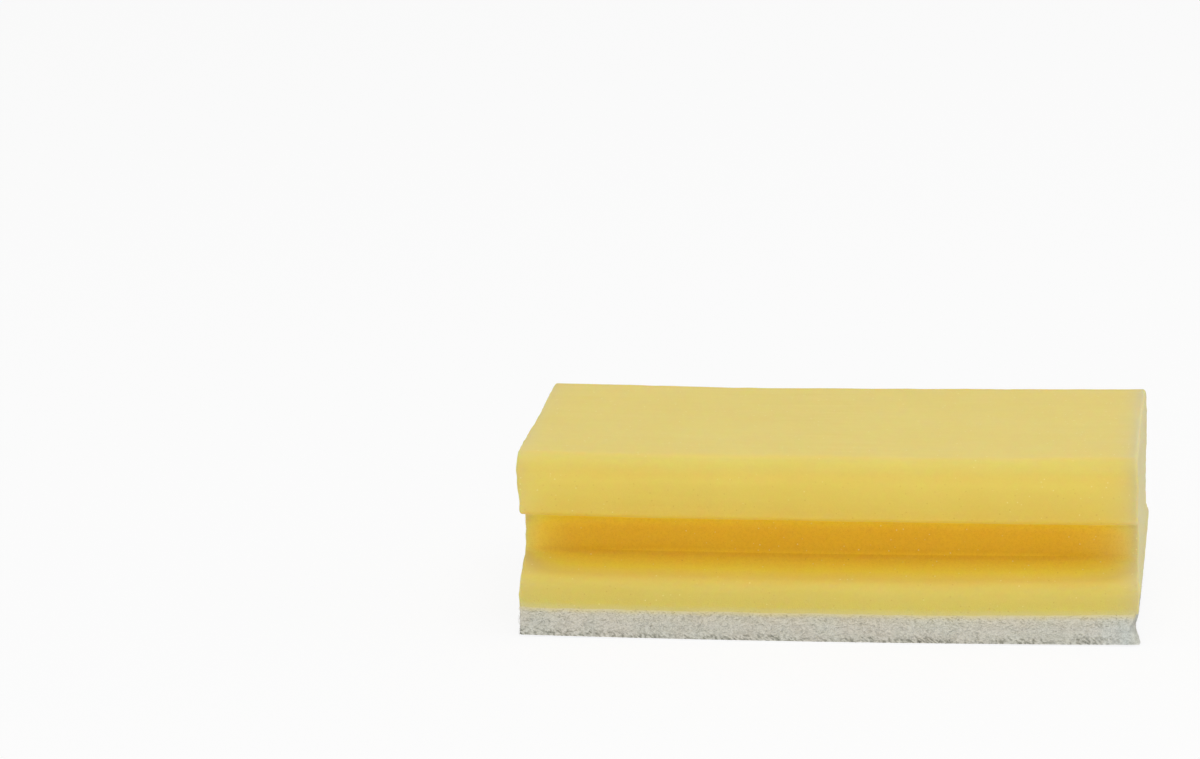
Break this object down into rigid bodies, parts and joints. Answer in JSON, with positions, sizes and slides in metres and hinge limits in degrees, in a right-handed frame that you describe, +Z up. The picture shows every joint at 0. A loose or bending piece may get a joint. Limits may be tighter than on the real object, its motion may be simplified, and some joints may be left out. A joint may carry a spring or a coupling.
{
  "type": "cleaning sponge",
  "caption": "Rectangular foam scrubbing sponge with an undercut grip groove along both long sides and a flat non-woven scouring pad underneath.",
  "frame": {"origin": "middle of the scouring pad's underside, which the sponge rests on", "axes": "+X along the length, -Y the front long side, +Z up from the pad to the top of the foam"},
  "size_m": [0.15, 0.07, 0.046],
  "materials": {
    "foam": "soft open-cell polyurethane foam, dull, warm yellow",
    "fibre_pad": "dull off-white non-woven fibre"
  },
  "bodies": {
    "root": {"foam_body": "foam", "scouring_pad": "fibre_pad"}
  },
  "joints": []
}
